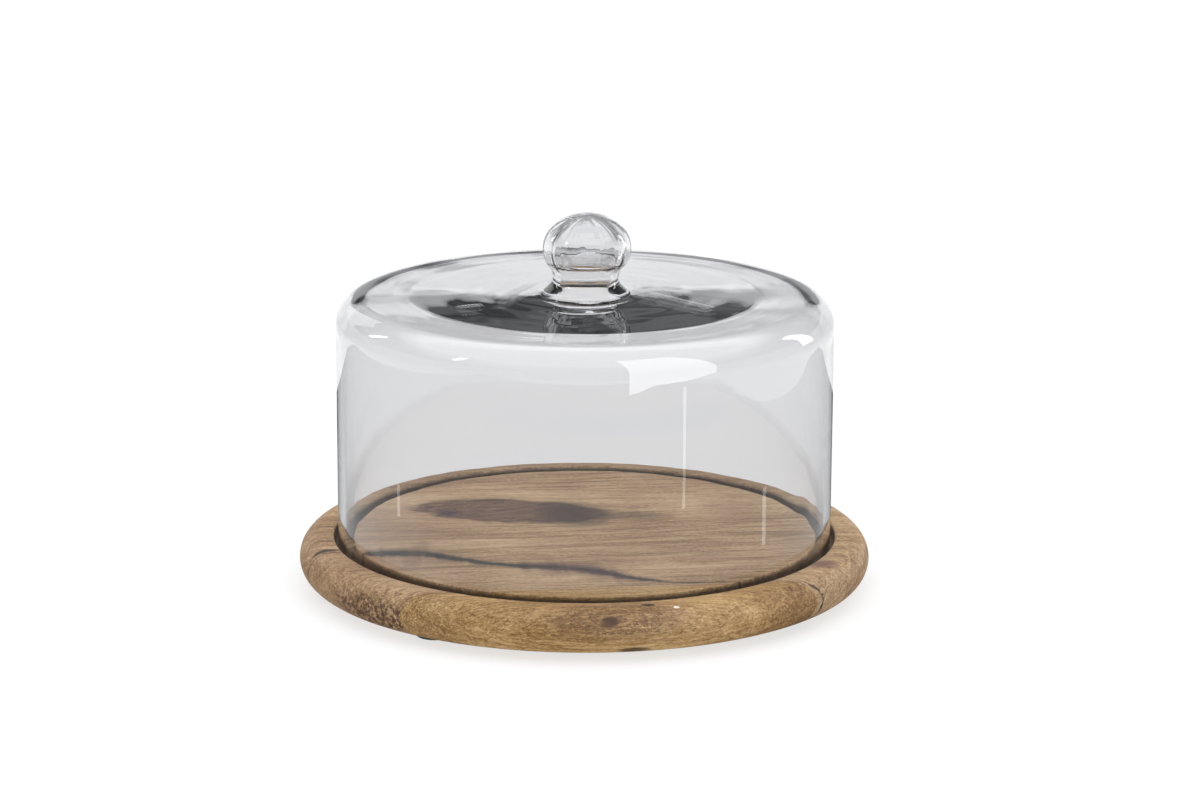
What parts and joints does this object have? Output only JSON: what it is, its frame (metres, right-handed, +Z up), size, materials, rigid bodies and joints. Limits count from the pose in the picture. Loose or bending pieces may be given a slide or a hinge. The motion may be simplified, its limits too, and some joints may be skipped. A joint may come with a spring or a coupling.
{
  "type": "bell jar dome",
  "caption": "Clear blown glass dome with a hollow ball knob that lifts off the groove of a round wooden base with rubber feet.",
  "frame": {"origin": "middle of the base, on the surface that the feet stand on", "axes": "+Z up along the dome's axis, -Y towards the front, +X to the right seen from the front"},
  "size_m": [0.3, 0.3, 0.1966],
  "materials": {
    "pale_mango_wood": "oiled, open grain",
    "mango_wood": "oiled, open grain",
    "black_rubber": "matt",
    "clear_glass": "blown, fire-polished"
  },
  "bodies": {
    "base": {"front_stave": "pale_mango_wood", "centre_front_stave": "mango_wood", "centre_back_stave": "mango_wood", "back_stave": "mango_wood", "foot_front_left": "black_rubber", "foot_front_right": "black_rubber", "foot_back_right": "black_rubber", "foot_back_left": "black_rubber"},
    "dome": {"glass_dome": "clear_glass", "glass_knob": "clear_glass"}
  },
  "joints": [
    {"name": "dome_lift", "type": "slide", "parent": "base", "child": "dome", "axis": [0, 0, 1], "range_m": [0, 0.16]}
  ]
}
